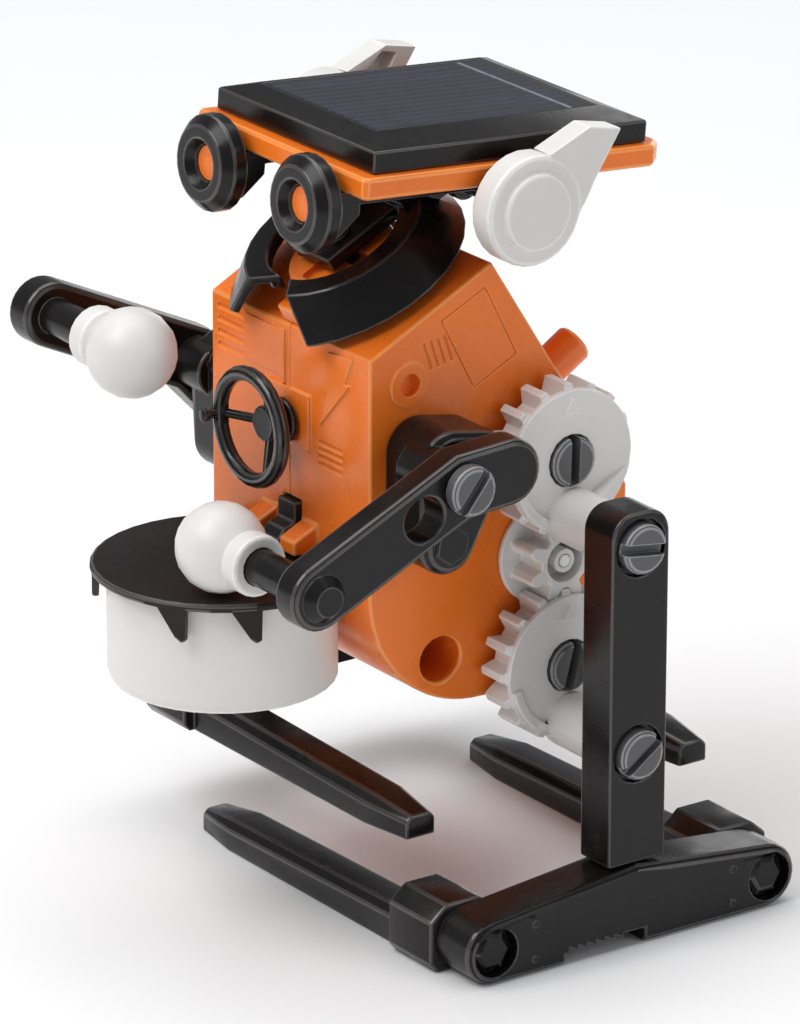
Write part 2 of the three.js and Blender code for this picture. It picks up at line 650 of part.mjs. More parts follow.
function shoulderBlock() {
  const outline = hullOutline([
    [CASTELLATION.y, CASTELLATION.z, 5.8],
    [-20.9, 89.3, 5.8],
    [-27.8, 90.2, 6.2],
  ]);
  const block = chamferedX(outline, BODY_HALF + GAP, SHOULDER_OUT, 1.2, 6);
  const hex = prismX(regular(CASTELLATION.y, CASTELLATION.z, 3.6, 6, 0.4), SHOULDER_OUT - CUT, SHOULDER_OUT + 0.6);
  return cut(
    join(block, hex, rodX(SHOULDER.x, SHOULDER.y, 4.9, BODY_HALF + 6, ARM_IN - 0.2, 10)),
    boreX(SHOULDER.x, SHOULDER.y, 2 + GAP / 2, BODY_HALF + 3, ARM_IN + CUT, 6),
  );
}

// Arm about the shoulder axis at the origin, with its forearm along -y.
function arm() {
  const bend = rad(ARM_BEND);
  const rear = [ELBOW_BACK * Math.cos(bend), -ELBOW_BACK * Math.sin(bend)];
  const miter = ARM_R / Math.cos(bend / 2);
  const outline = new THREE.Shape();
  outline.absarc(-FOREARM, 0, ARM_R, Math.PI / 2, 1.5 * Math.PI);
  outline.lineTo(-miter * Math.sin(bend / 2), -miter * Math.cos(bend / 2));
  outline.absarc(rear[0], rear[1], ARM_R, -Math.PI / 2 - bend, Math.PI / 2 - bend);
  outline.lineTo(miter * Math.sin(bend / 2), miter * Math.cos(bend / 2));
  outline.closePath();
  const bar = chamferedX(outline, ARM_IN, ARM_OUT, 0.7, 7, true);
  const pinEnd = HAND_X + 3;
  const pin = turnedX([[0, pinEnd], [3.4, pinEnd], [3.4, ARM_IN + 1], [4.4, ARM_IN + 1.2], [4.4, ARM_OUT + 0.2],
    [2.7, ARM_OUT + 2.2], [0, ARM_OUT + 2.2]], -FOREARM, 0, 18);
  return cut(
    join(bar, pin),
    rodX(-9.6, 0, 4.1, ARM_IN - CUT, ARM_OUT + CUT, 10),
    boreX(0, 0, 2 + RUNNING, ARM_IN - CUT, ARM_OUT + CUT, 6),
  );
}

const armScrew = () => slottedScrew({ face: ARM_OUT + 2.9, lugs: 2.7, shankEnd: 30, slotTurn: 26 });

// Ball with its stepped collar, pushed on the end of the hand pin.
function handBall() {
  const steps = 9;
  const ball = Array.from({ length: steps + 1 }, (_, i) => {
    const angle = -Math.PI / 2 + (i / steps) * 2.62;
    return [Math.max(0, HAND_R * Math.cos(angle)), HAND_X + HAND_R * Math.sin(angle)];
  });
  ball[0][0] = 0;
  const profile = [...ball, [5.6, HAND_X + 8.2], [5.6, HAND_X + 11.8], [5.1, HAND_X + 12.2], [0, HAND_X + 12.2]];
  return cut(
    turnedX(profile, -FOREARM, 0, 20),
    boreX(-FOREARM, 0, 3.4 + GAP / 2, HAND_X + 3 - GAP, HAND_X + 13, 9),
  );
}

// ---- Drum, steering wheel ---------------------------------------------------------------------

// Everything of the drum stops at a flat chord against the casing's front.
const drumChord = () => box(-40, 40, BODY_FRONT - 0.4, 40, 0, 200);

function drumShell() {
  const { low, r } = DRUM;
  const high = DRUM.top - DRUM.thick - GAP;
  const place = at(0, DRUM.y, 0);
  const outer = turned([[0, low], [r - 2.6, low], [r - 0.8, low + 0.7], [r, low + 2.6], [r, high],
    [0, high]], 36, place);
  const inner = turned([[0, low + 1.6], [r - 3.2, low + 1.6], [r - 1.6, low + 3.2], [r - 1.6, high + CUT],
    [0, high + CUT]], 30, place);
  const hollow = inner.subtract(box(-40, 40, BODY_FRONT - 2, 40, 0, 200));
  return cut(outer, drumChord(), hollow);
}

function drumLid() {
  const { lid, top, thick } = DRUM;
  let made = turned([[0, top - thick], [lid - 0.4, top - thick], [lid, top - thick + 0.4], [lid, top - 0.4],
    [lid - 0.4, top], [0, top]], 36, at(0, DRUM.y, 0));
  // Two hooked teeth hang from each side of the rim, with their upright edge on the outer side.
  [-1, 1].forEach((side) => [24.3, 57.3].forEach((back) => {
    const turn = side > 0 ? -rad(back) : Math.PI + rad(back);
    const place = at(0, DRUM.y, 0).multiply(new THREE.Matrix4().makeRotationZ(turn + Math.PI / 2));
    const tooth = [[-2.95, top - 0.8], [1, 60.2], [1.9, 59.5], [2.8, 60], [2.95, top - 0.8]];
    const upright = extrude(polygon(tooth.map(([u, v]) => [side * u, v])), 1.3, 4);
    made = made.add(solid(upright, place.multiply(at(0, 1.7 - lid, 0)).multiply(ALONG_Y)));
  }));
  // Tongue that rises behind the lid and turns into the casing's socket.
  const tongue = prismX(polygon([
    [BODY_FRONT - 5, top - 0.6], [BODY_FRONT - 0.5, top - 0.6], [BODY_FRONT - 0.5, 71], [BODY_FRONT + 3, 71],
    [BODY_FRONT + 3, 75.8], [BODY_FRONT - 1.4, 75.8], [BODY_FRONT - 1.4, 72.2], [BODY_FRONT - 3.6, 71.4],
    [BODY_FRONT - 5, 69.6],
  ]), -1.9, 3.5);
  return cut(made, box(-40, 40, BODY_FRONT - 0.4, 40, 0, top + 0.2)).add(tongue);
}

// Wheel with a set-back hub, three dished spokes and a winding knob on its rim.
function steeringWheel() {
  const axis = at(0, WHEEL.y, WHEEL.z);
  const forward = axis.clone().multiply(turnX(90));
  const rim = WHEEL.r - WHEEL.tube;
  let made = join(
    solid(new THREE.TorusGeometry(rim, WHEEL.tube, 8, 28), forward),
    turned([[0, -11.3], [1.6, -11.3], [1.6, -7.2], [4.2, -7.2], [4.2, -6.2], [2.4, -6], [2.4, -5], [3.3, -4.7],
      [3.3, -2.7], [2.9, -2.3], [0, -2.3]], 16, forward),
  );
  const inner = { r: 2.4, back: 3.5 };
  const outer = { r: rim, back: 0.2 };
  const run = outer.r - inner.r;
  const rise = inner.back - outer.back;
  [180, 62, -62].forEach((degrees) => {
    const spoke = new THREE.CylinderGeometry(0.85, 0.95, Math.hypot(run, rise), 6);
    const place = axis.clone().multiply(new THREE.Matrix4().makeRotationY(-rad(degrees)))
      .multiply(at((inner.r + outer.r) / 2, (inner.back + outer.back) / 2, 0))
      .multiply(new THREE.Matrix4().makeRotationZ(Math.atan2(-run, -rise)));
    made = made.add(solid(spoke, place));
  });
  const knob = turned([[0, 0], [0.9, 0], [0.9, 1.8], [1.25, 2.1], [1.25, 3.2], [0, 3.4]], 10,
    at(-rim, WHEEL.y - 0.6, WHEEL.z).multiply(turnX(90)));
  return made.add(knob);
}

// ---- Inner drive ------------------------------------------------------------------------------

// Output shaft, lay shaft and motor shaft stand on one line that leans to the front.
const TRAIN_LEAN = rad(122);
const trainAxis = (steps) => ({
  y: steps * FINE.spacing * Math.cos(TRAIN_LEAN),
  z: OUTPUT_Z + steps * FINE.spacing * Math.sin(TRAIN_LEAN),
});
const LAY = trainAxis(1);
const MOTOR = trainAxis(2);
const fineWheel = (x0, x1) => prismX(turnOutline(FINE_WHEEL, TRAIN_LEAN), x0, x1);
const finePinion = (x0, x1) => prismX(turnOutline(FINE_PINION, TRAIN_LEAN), x0, x1);

const outputShaft = () => rodX(0, 0, SHAFT_R, 0.6 - TEETH_OUT, TEETH_OUT - 0.6, 6);
const outputWheel = () => fineWheel(9.4, 12.4).subtract(boreX(0, 0, SHAFT_R + GAP / 2, 9, 13, 6));
const laySpindle = () => rodX(LAY.y, LAY.z, 1, -(BODY_HALF - BODY_WALL), BODY_HALF - BODY_WALL, 6);

function layGear() {
  return join(fineWheel(4, 7), finePinion(7, 13)).subtract(boreX(0, 0, 1 + RUNNING, 3, 14, 6));
}

function motorCan() {
  const can = rodX(MOTOR.y, MOTOR.z, 10, -21.5, 1, 12);
  const flats = box(-30, 10, -99, 99, MOTOR.z - 7.6, MOTOR.z + 7.6);
  const nose = rodX(MOTOR.y, MOTOR.z, 3, 0, 2.2, 8);
  return cut(join(can.intersect(flats), nose), boreX(MOTOR.y, MOTOR.z, 1 + RUNNING, -12, 4, 6));
}

const motorShaft = () => join(rodX(0, 0, 1, -11, 7.4, 6), finePinion(3.4, 6.8));

// Clamp ring that holds the motor, with a foot against the casing's front wall.
function motorCradle() {
  const ring = rodX(MOTOR.y, MOTOR.z, 11.6, -11, -8, 14).subtract(boreX(MOTOR.y, MOTOR.z, 10 + GAP, -12, -7, 12));
  const bar = box(-11, -8, BODY_FRONT + BODY_WALL + GAP, MOTOR.y - 10.6, MOTOR.z - 2.5, MOTOR.z + 2.5);
  return join(ring, bar);
}

// ---- Neck and head ----------------------------------------------------------------------------

// All the neck's pieces are drawn about the neck axis, with the casing's slope at height zero.
function neckDisc() {
  const cross = 3.4;
  const slot = (long, wide) => box(-long, long, -wide, wide, -CUT, 9);
  const rib = box(-2.4, 2.4, -14.6, -7, GAP, 3.4);
  return cut(
    join(turned([[0, GAP], [NECK_DISC_R, GAP], [NECK_DISC_R, NECK_DISC_TOP - 0.5], [NECK_DISC_R - 0.5, NECK_DISC_TOP],
      [0, NECK_DISC_TOP]], 30), rib),
    prismZ(circle(0, 0, (cross + RUNNING) / Math.cos(Math.PI / 18)), -CUT, 9, 9),
    slot(8, 1.6).intersect(box(-99, 99, -99, 99, 4, 99)),
    slot(1.6, 8).intersect(box(-99, 99, -99, 99, 4, 99)),
  );
}

const earInNeck = new THREE.Vector3(0, EAR_AXIS.x, EAR_AXIS.y).applyMatrix4(neckFrame.clone().invert());

// Flared collar round the neck, open at the front. Its strap holds the post, and its rear carries
// the bearing of the tilt shaft.
function neckCollar() {
  const ring = turned([[22.7, 2.2], [16.8, 9.4], [12.4, 9.4], [12.4, 6.6], [14, 6.6], [14, 7.8], [15.9, 7.8],
    [21.3, 1.5], [22.7, 2.2]], 30);
  const mouth = prismZ(polygon([[0, -12.4], [-27, -27.5], [27, -27.5]]), 0, 20);
  const bearing = prismX(hullOutline([[12, 7.8, 1.2], [earInNeck.y, earInNeck.z, 2.9], [12, 9.4, 1.2]]), -8, 8, 6);
  return cut(
    join(ring.subtract(mouth), box(-5.4, 5.4, -5.4, 15, 6.6, 9), bearing),
    prismZ(circle(0, 0, 3.4 + GAP), 5, 12, 9),
    boreX(earInNeck.y, earInNeck.z, 1.8 + RUNNING, -9, 9, 6),
  );
}

// Swivel post, snapped through the neck disc and the collar's strap.
function neckPost() {
  return turned([[0, -1.4], [4.4, -1.4], [4.4, -0.3], [3.4, -0.3], [3.4, 9.6], [2.8, 10.2], [0, 10.2]], 18);
}

// The head's pieces are drawn about the tilt axis through the ears, with the plate level.
function headPlate() {
  const nose = 0.9;
  const tail = 3;
  const { half, front, rear, low, top } = PLATE;
  const outline = polygon([
    [-half + nose, front], [half - nose, front], [half, front + nose], [half, rear - tail],
    [half - tail, rear], [-half + tail, rear], [-half, rear - tail], [-half, front + nose],
  ]);
  const geometry = new THREE.ExtrudeGeometry(outline, {
    depth: top - low - 1,
    bevelThickness: 0.5,
    bevelSize: 0.5,
    bevelOffset: -0.5,
    bevelSegments: 1,
  });
  return cut(solid(geometry, at(0, 0, low + 0.5)), box(-4, 4, 2, 10, 0, 9));
}

// Frame under the plate: the tilt shaft, its lugs, a disc behind each ear, and the rails and stems
// that carry the eyes.
function headFrame() {
  const under = PLATE.low - GAP;
  const lug = hullOutline([[0, -0.4, 2.8], [5, 2.2, 0.6], [-5, 2.2, 0.6]]);
  const stem = polygon([[-33.4, under], [-27, under], [-27, -1.5], [-31.5, -5.4], [-33.4, -5.4]]);
  const half = join(
    rodX(0, 0, 1.8, -CUT, 33, 6),
    rodX(0, 0, 8.5, PLATE.half + 0.2, EAR_IN - 0.2, 12),
    prismX(lug, 10, 13, 8),
    box(EYE_X - 4.5, EYE_X + 4.5, -29.4, 0, 0.4, under),
    prismX(stem, EYE_X - 4.5, EYE_X + 4.5),
    box(-CUT, EYE_X, -20, -16, 0.4, under),
  );
  return join(half, half.mirror([1, 0, 0]));
}

const EYE_FACE = -38.4;
const EYE_Z = 0.4;
const EYE_BORE = 3.3;

// Eye ring with a bevelled rim and a bore that shows its orange core.
function eyeRing(side) {
  const back = -33.5;
  const profile = [
    [EYE_BORE, EYE_FACE + 1.9], [EYE_BORE + 1, EYE_FACE + 0.3], [EYE_BORE + 1.4, EYE_FACE], [6.9, EYE_FACE],
    [EYE_R, EYE_FACE + 2], [EYE_R, back - 0.4], [EYE_R - 0.5, back], [EYE_BORE, back], [EYE_BORE, EYE_FACE + 1.9],
  ];
  const forward = at(side * EYE_X, 0, EYE_Z).multiply(new THREE.Matrix4().makeRotationX(-Math.PI / 2));
  return turned(profile, 24, forward);
}

function eyeCore(side) {
  const forward = at(side * EYE_X, 0, EYE_Z).multiply(new THREE.Matrix4().makeRotationX(-Math.PI / 2));
  return turned([[0, -36.3], [EYE_BORE - GAP, -36.3], [EYE_BORE - GAP, -33.5], [0, -33.5]], 20, forward);
}

// Moulded panel frame: upright walls, then a slope up to the flat rim round the cell.
const CELL_HALF = 17.2;
const CELL_FRONT = -23.2;
const CELL_REAR = 23.3;
const PANEL_FLOOR = PLATE.top + GAP;

function panelHousing() {
  const loop = (half, front, rear, z) => [[-half, front, z], [half, front, z], [half, rear, z], [-half, rear, z]];
  const { half, front, rear, wall, top } = PANEL;
  const block = loft([
    loop(half, front, rear, PANEL_FLOOR),
    loop(half, front, rear, wall),
    loop(CELL_HALF + 1.2, CELL_FRONT - 1.2, CELL_REAR + 1.2, top),
  ]);
  return block.subtract(box(-CELL_HALF, CELL_HALF, CELL_FRONT, CELL_REAR, top - 1.4, top + CUT));
}

function solarCell() {
  return box(-CELL_HALF + GAP, CELL_HALF - GAP, CELL_FRONT + GAP, CELL_REAR - GAP, PANEL.top - 1.3, PANEL.top - 0.1);
}

// Round ear with a raised cap and a tapering fin, drawn as the left ear, hollow on its inner side.
function ear() {
  const outer = EAR_IN + 5.3;
  const disc = turnedX([[0, EAR_IN], [10.05, EAR_IN], [10.05, outer - 0.6], [9.45, outer], [7, outer],
    [7, outer + 0.7], [6.6, outer + 1.1], [0, outer + 1.1]], 0, 0, 26);
  const fin = prismX(polygon([
    [2.5, 10], [10.8, 14.2], [17.7, 13.3], [12.6, 4.2], [11.1, 0.9], [8, -4], [4, 4],
  ]), EAR_IN, outer - 0.3);
  const pocket = prismX(polygon([[6.4, 9.6], [9.9, 13], [13.2, 12.5], [11.6, 9.4]]), EAR_IN - CUT, outer - 1.9);
  const bore = boreX(0, 0, 1.8 + GAP / 2, EAR_IN - CUT, 33.1, 6);
  return cut(join(disc, fin), pocket, bore);
}

// ---- Assembly ---------------------------------------------------------------------------------

function group(matrixOrNull, ...children) {
  const made = new THREE.Group();
  if (matrixOrNull) made.applyMatrix4(matrixOrNull);
  made.add(...children);
  return made;
}

// Gears, leg, foot, shoulder and arm of one side, drawn as the left side and mirrored for the right.
function walkingSide(side) {
  const left = side === "left";
  const phase = left ? 0 : 180;
  const lift = left ? 0 : 2 * CRANK;
  const gear = (place, slotTurn) => group(
    at(0, 0, CRANK_AXLES[place]).multiply(turnX(phase)),
    part(`crank_gear_${place}_${side}`, crankGear(), white),
    group(at(0, 0, -CRANK), part(`leg_screw_${place}_${side}`, legScrew(slotTurn), grey)),
  );
  const gearScrew = (place, slotTurn) => group(
    at(0, 0, CRANK_AXLES[place]),
    part(`gear_screw_${place}_${side}`, slottedScrew({ face: 34.9, lugs: 5.4, shankEnd: 15, slotTurn }), grey),
  );
  const leg = group(
    at(0, 0, lift),
    part(`leg_bar_${side}`, legBar(), black),
    part(`foot_beam_${side}`, footBeam(), black),
    part(`foot_prong_front_${side}`, footProng(BEAM_FRONT), black),
    part(`foot_prong_rear_${side}`, footProng(BEAM_REAR), black),
  );
  const wholeArm = group(
    at(0, SHOULDER.x, SHOULDER.y).multiply(turnX(ARM_PITCH[side])),
    part(`arm_${side}`, arm(), black),
    part(`hand_ball_${side}`, handBall(), white),
    part(`arm_screw_${side}`, armScrew(), grey),
  );
  const pinion = group(at(0, 0, OUTPUT_Z), part(`output_pinion_${side}`, outputPinion(), white));
  const made = group(
    null,
    gear("upper", -8),
    gear("lower", 35),
    gearScrew("upper", 88),
    gearScrew("lower", 75),
    pinion,
    leg,
    part(`shoulder_block_${side}`, shoulderBlock(), black),
    wholeArm,
  );
  made.scale.x = left ? 1 : -1;
  return made;
}

function head() {
  const earOn = (side) => {
    const mesh = part(`ear_${side}`, ear(), white);
    mesh.scale.x = side === "left" ? 1 : -1;
    return mesh;
  };
  return group(
    at(0, EAR_AXIS.x, EAR_AXIS.y).multiply(turnX(-HEAD_PITCH)),
    part("head_plate", headPlate(), orange),
    part("head_frame", headFrame(), black),
    part("panel_housing", panelHousing(), black),
    part("solar_cell", solarCell(), cell),
    part("eye_ring_left", eyeRing(1), black),
    part("eye_ring_right", eyeRing(-1), black),
    part("eye_core_left", eyeCore(1), orange),
    part("eye_core_right", eyeCore(-1), orange),
    earOn("left"),
    earOn("right"),
  );
}

const robot = group(
  at(0, CENTRE_SHIFT, 0),
  part("casing_left", casingHalf(true), orange),
  part("casing_right", casingHalf(false), orange),
  part("tail_peg", tailPeg(), orange),
  part("drum_shell", drumShell(), white),
  part("drum_lid", drumLid(), black),
  part("steering_wheel", steeringWheel(), black),
  part("motor_can", motorCan(), steel),
  part("motor_cradle", motorCradle(), orange),
  part("lay_spindle", laySpindle(), steel),
  group(at(0, MOTOR.y, MOTOR.z), part("motor_shaft", motorShaft(), steel)),
  group(at(0, LAY.y, LAY.z), part("lay_gear", layGear(), white)),
  group(at(0, 0, OUTPUT_Z), part("output_shaft", outputShaft(), steel), part("output_wheel", outputWheel(), white)),
  group(neckFrame, part("neck_disc", neckDisc(), orange), part("neck_post", neckPost(), black),
    part("neck_collar", neckCollar(), black)),
  head(),
  walkingSide("left"),
  walkingSide("right"),
);

export default robot;
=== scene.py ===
"""Looks of the solar walking robot kit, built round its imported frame. Metres, +Z up, the robot faces -Y."""
import json
import math

import bmesh
import bpy
from mathutils import Matrix, Vector

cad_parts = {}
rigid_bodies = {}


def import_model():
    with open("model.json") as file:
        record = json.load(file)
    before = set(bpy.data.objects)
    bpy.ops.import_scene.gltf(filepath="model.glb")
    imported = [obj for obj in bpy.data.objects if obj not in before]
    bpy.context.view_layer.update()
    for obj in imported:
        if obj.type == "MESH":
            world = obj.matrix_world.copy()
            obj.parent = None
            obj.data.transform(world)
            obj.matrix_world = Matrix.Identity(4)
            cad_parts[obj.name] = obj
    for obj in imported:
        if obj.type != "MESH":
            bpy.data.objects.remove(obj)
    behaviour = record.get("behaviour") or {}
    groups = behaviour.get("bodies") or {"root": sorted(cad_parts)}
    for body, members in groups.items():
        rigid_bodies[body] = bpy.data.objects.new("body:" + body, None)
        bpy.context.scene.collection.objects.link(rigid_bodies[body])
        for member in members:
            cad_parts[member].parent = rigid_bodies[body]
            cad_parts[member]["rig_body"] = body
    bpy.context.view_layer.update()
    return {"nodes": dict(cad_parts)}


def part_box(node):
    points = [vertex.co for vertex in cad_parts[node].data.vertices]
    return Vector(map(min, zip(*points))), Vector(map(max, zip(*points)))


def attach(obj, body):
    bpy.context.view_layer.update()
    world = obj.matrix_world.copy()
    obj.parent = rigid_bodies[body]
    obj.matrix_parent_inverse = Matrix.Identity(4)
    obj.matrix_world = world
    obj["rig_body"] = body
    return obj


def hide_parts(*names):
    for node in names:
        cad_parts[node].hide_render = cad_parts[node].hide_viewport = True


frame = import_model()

MM = 0.001
NODES = frame["nodes"]
SIDES = ("left", "right")


def middle(node):
    low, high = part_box(node)
    return (low + high) / 2


# ---- Camera ------------------------------------------------------------------------------------

AZIMUTH = math.radians(54.741)
ELEVATION = math.radians(19.978)
ROLL = math.radians(0.169)
DISTANCE = 1.329
LENS = 318.75
AIM_X = -21.75 * MM
AIM_BEHIND_CRANKS = 15.4 * MM
AIM_RIGHT = -10.694 * MM
AIM_UP = 52.159 * MM

back = Vector((
    math.sin(AZIMUTH) * math.cos(ELEVATION),
    -math.cos(AZIMUTH) * math.cos(ELEVATION),
    math.sin(ELEVATION),
))
level_right = Vector((math.cos(AZIMUTH), math.sin(AZIMUTH), 0))
level_up = back.cross(level_right)
right = level_right * math.cos(ROLL) + level_up * math.sin(ROLL)
up = level_up * math.cos(ROLL) - level_right * math.sin(ROLL)
crank_y = middle("leg_bar_left").y
aim = Vector((AIM_X, crank_y + AIM_BEHIND_CRANKS, 0)) + AIM_RIGHT * right + AIM_UP * up

camera = bpy.data.objects.new("camera", bpy.data.cameras.new("camera"))
camera.data.sensor_fit = "HORIZONTAL"
camera.data.sensor_width = 36
camera.data.lens = LENS
camera.data.clip_start = 0.05
turned = Matrix((right, up, back)).transposed().to_4x4()
camera.matrix_world = Matrix.Translation(aim + DISTANCE * back) @ turned
bpy.context.scene.collection.objects.link(camera)
bpy.context.scene.camera = camera
bpy.context.scene.view_settings.view_transform = "Standard"

# ---- Materials ---------------------------------------------------------------------------------


class Nodes:
    """Short calls for building one material's node tree on the object's own coordinates."""

    def __init__(self, name):
        self.material = bpy.data.materials.new(name)
        self.material.use_nodes = True
        self.tree = self.material.node_tree
        self.shader = self.tree.nodes["Principled BSDF"]
        self.place = self.tree.nodes.new("ShaderNodeTexCoord").outputs["Object"]

    def add(self, kind, **settings):
        node = self.tree.nodes.new(kind)
        for key, value in settings.items():
            setattr(node, key, value)
        return node

    def link(self, source, target):
        self.tree.links.new(source, target)

    def noise(self, scale, detail=2.0, roughness=0.5, stretch=(1, 1, 1)):
        mapping = self.add("ShaderNodeMapping")
        mapping.inputs["Scale"].default_value = stretch
        self.link(self.place, mapping.inputs["Vector"])
        node = self.add("ShaderNodeTexNoise")
        node.inputs["Scale"].default_value = scale
        node.inputs["Detail"].default_value = detail
        node.inputs["Roughness"].default_value = roughness
        self.link(mapping.outputs["Vector"], node.inputs["Vector"])
        return node.outputs["Fac"]

    def ramp(self, value, stops):
        node = self.add("ShaderNodeValToRGB")
        elements = node.color_ramp.elements
        while len(elements) < len(stops):
            elements.new(0.5)
        for element, (position, colour) in zip(elements, stops):
            element.position = position
            element.color = (*colour, 1)
        self.link(value, node.inputs["Fac"])
        return node.outputs["Color"]

    def span(self, value, low, high):
        node = self.add("ShaderNodeMapRange")
        node.inputs["From Min"].default_value = 0.3
        node.inputs["From Max"].default_value = 0.7
        node.inputs["To Min"].default_value = low
        node.inputs["To Max"].default_value = high
        self.link(value, node.inputs["Value"])
        return node.outputs["Result"]

    def math(self, operation, a, b):
        node = self.add("ShaderNodeMath", operation=operation)
        for socket, value in zip(node.inputs, (a, b)):
            if isinstance(value, (int, float)):
                socket.default_value = value
            else:
                self.link(value, socket)
        return node.outputs[0]

    def mix(self, share, a, b):
        node = self.add("ShaderNodeMix", data_type="RGBA")
        self.link(share, node.inputs["Factor"])
        self.link(a, node.inputs["A"])
        self.link(b, node.inputs["B"])
        return node.outputs["Result"]

    def bump(self, height, distance, strength, below=None):
        node = self.add("ShaderNodeBump")
        node.inputs["Distance"].default_value = distance
        node.inputs["Strength"].default_value = strength
        self.link(height, node.inputs["Height"])
        if below is not None:
            self.link(below, node.inputs["Normal"])
        return node.outputs["Normal"]


def shade(colour, factor):
    return tuple(min(1.0, c * factor) for c in colour)


def moulded_plastic(name, colour, gloss, coat=0.0, swirl=0.1, grain=0.1, handled=0.0, ior=1.46):
    """Injection-moulded plastic: slow flow swirls, a fine mould grain and slightly uneven gloss.

    gloss is the (low, high) roughness, and handled lightens the patches that get touched."""
    n = Nodes(name)
    flow = n.noise(55, 3, 0.55, stretch=(1, 1, 0.6))
    base = n.ramp(flow, [(0.3, shade(colour, 1 - swirl)), (0.7, shade(colour, 1 + swirl))])
    touched = n.noise(140, 4, 0.6)
    mask = n.ramp(touched, [(0.55, (0, 0, 0)), (0.75, (handled, handled, handled))])
    pale = n.ramp(flow, [(0.0, shade(colour, 1.15)), (1.0, tuple(min(1, c * 1.3 + 0.03) for c in colour))])
    n.link(n.mix(mask, base, pale), n.shader.inputs["Base Color"])
    uneven = n.noise(260, 3, 0.6)
    n.link(n.span(uneven, *gloss), n.shader.inputs["Roughness"])
    sink = n.bump(n.noise(90, 1, 0.4), 0.0004, 0.12)
    n.link(n.bump(n.noise(4200, 2, 0.6), 0.00004, grain, below=sink), n.shader.inputs["Normal"])
    n.shader.inputs["Coat Weight"].default_value = coat
    n.shader.inputs["Coat Roughness"].default_value = 0.08
    n.shader.inputs["IOR"].default_value = ior
    return n.material


def solar_silicon(name):
    """Dark blue silicon strips under clear resin, with thin pale conductors along the cell and one across."""
    n = Nodes(name)
    low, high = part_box("solar_cell")
    pitch = (high.x - low.x) / 14
    spread = n.noise(170, 5, 0.6, stretch=(1, 0.25, 1))
    blues = [(0.3, (0.003, 0.003, 0.009)), (0.55, (0.006, 0.006, 0.02)), (0.75, (0.012, 0.011, 0.036))]
    silicon = n.ramp(spread, blues)
    axes = n.add("ShaderNodeSeparateXYZ")
    n.link(n.place, axes.inputs["Vector"])
    from_edge = n.math("SUBTRACT", axes.outputs["X"], low.x - pitch / 2)
    along = n.math("FRACT", n.math("MULTIPLY", from_edge, 1 / pitch), 0)
    finger = n.math("LESS_THAN", n.math("ABSOLUTE", n.math("SUBTRACT", along, 0.5), 0), 0.045)
    bus_y = high.y - 4.6 * MM
    bus = n.math("LESS_THAN", n.math("ABSOLUTE", n.math("SUBTRACT", axes.outputs["Y"], bus_y), 0), 0.45 * MM)
    lines = n.math("MAXIMUM", n.math("MULTIPLY", finger, 0.16), n.math("MULTIPLY", bus, 0.7))
    conductor = n.ramp(n.noise(900), [(0.3, (0.19, 0.2, 0.26)), (0.7, (0.33, 0.34, 0.4))])
    n.link(n.mix(lines, silicon, conductor), n.shader.inputs["Base Color"])
    n.link(n.span(n.noise(320), 0.16, 0.28), n.shader.inputs["Roughness"])
    n.link(n.bump(n.noise(60, 1), 0.0006, 0.06), n.shader.inputs["Normal"])
    n.shader.inputs["Coat Weight"].default_value = 0.15
    n.shader.inputs["Coat Roughness"].default_value = 0.04
    n.shader.inputs["IOR"].default_value = 1.3
    return n.material


def drawn_steel(name):
    n = Nodes(name)
    streak = n.noise(500, 3, 0.5, stretch=(0.05, 1, 1))
    greys = n.ramp(streak, [(0.3, (0.42, 0.42, 0.43)), (0.7, (0.62, 0.62, 0.63))])
    n.link(greys, n.shader.inputs["Base Color"])
    n.link(n.span(streak, 0.22, 0.38), n.shader.inputs["Roughness"])
    n.link(n.bump(streak, 0.00003, 0.2), n.shader.inputs["Normal"])
    n.shader.inputs["Metallic"].default_value = 1
    return n.material


ORANGE = (0.95, 0.2, 0.016)
BLACK = (0.0085, 0.0072, 0.0068)
WHITE = (0.78, 0.765, 0.735)
GREY = (0.1, 0.1, 0.102)
LID = (0.014, 0.0112, 0.0102)

# Each finish is the plastic of the faces and, a little paler and smoother, that of the rounded edges; the
# paler edge colour of the plastics is a painted highlight along the edges.
FINISH = {
    "orange_plastic": (
        moulded_plastic("orange_face", ORANGE, (0.24, 0.34), coat=0.1, swirl=0.05, handled=0.08, ior=1.42),
        moulded_plastic("orange_edge_painted_highlight", (0.98, 0.31, 0.07), (0.2, 0.28), coat=0.2, swirl=0.04),
    ),
    "black_plastic": (
        moulded_plastic("black_face", BLACK, (0.2, 0.3), swirl=0.16, handled=0.03, ior=1.36),
        moulded_plastic("black_edge_painted_highlight", (0.06, 0.055, 0.053), (0.16, 0.24), coat=0.2, swirl=0.1),
    ),
    "lid_plastic": (
        moulded_plastic("lid_face", LID, (0.4, 0.5), swirl=0.2, grain=0.25, handled=0.04, ior=1.33),
        moulded_plastic("lid_edge_painted_highlight", (0.09, 0.082, 0.078), (0.25, 0.33), swirl=0.1),
    ),
    "white_plastic": (
        moulded_plastic("white_face", WHITE, (0.3, 0.4), swirl=0.035, handled=0.1),
        moulded_plastic("white_edge_painted_highlight", (0.88, 0.87, 0.845), (0.24, 0.32), swirl=0.02),
    ),
    "grey_plastic": (
        moulded_plastic("grey_face", GREY, (0.3, 0.42), swirl=0.12, grain=0.2, handled=0.2),
        moulded_plastic("grey_edge_painted_highlight", (0.3, 0.3, 0.305), (0.22, 0.32), swirl=0.08),
    ),
    "cell": (solar_silicon("cell_face"), solar_silicon("cell_edge")),
    "steel": (drawn_steel("steel_face"), drawn_steel("steel_edge")),
}

# ---- Moulded pieces ----------------------------------------------------------------------------

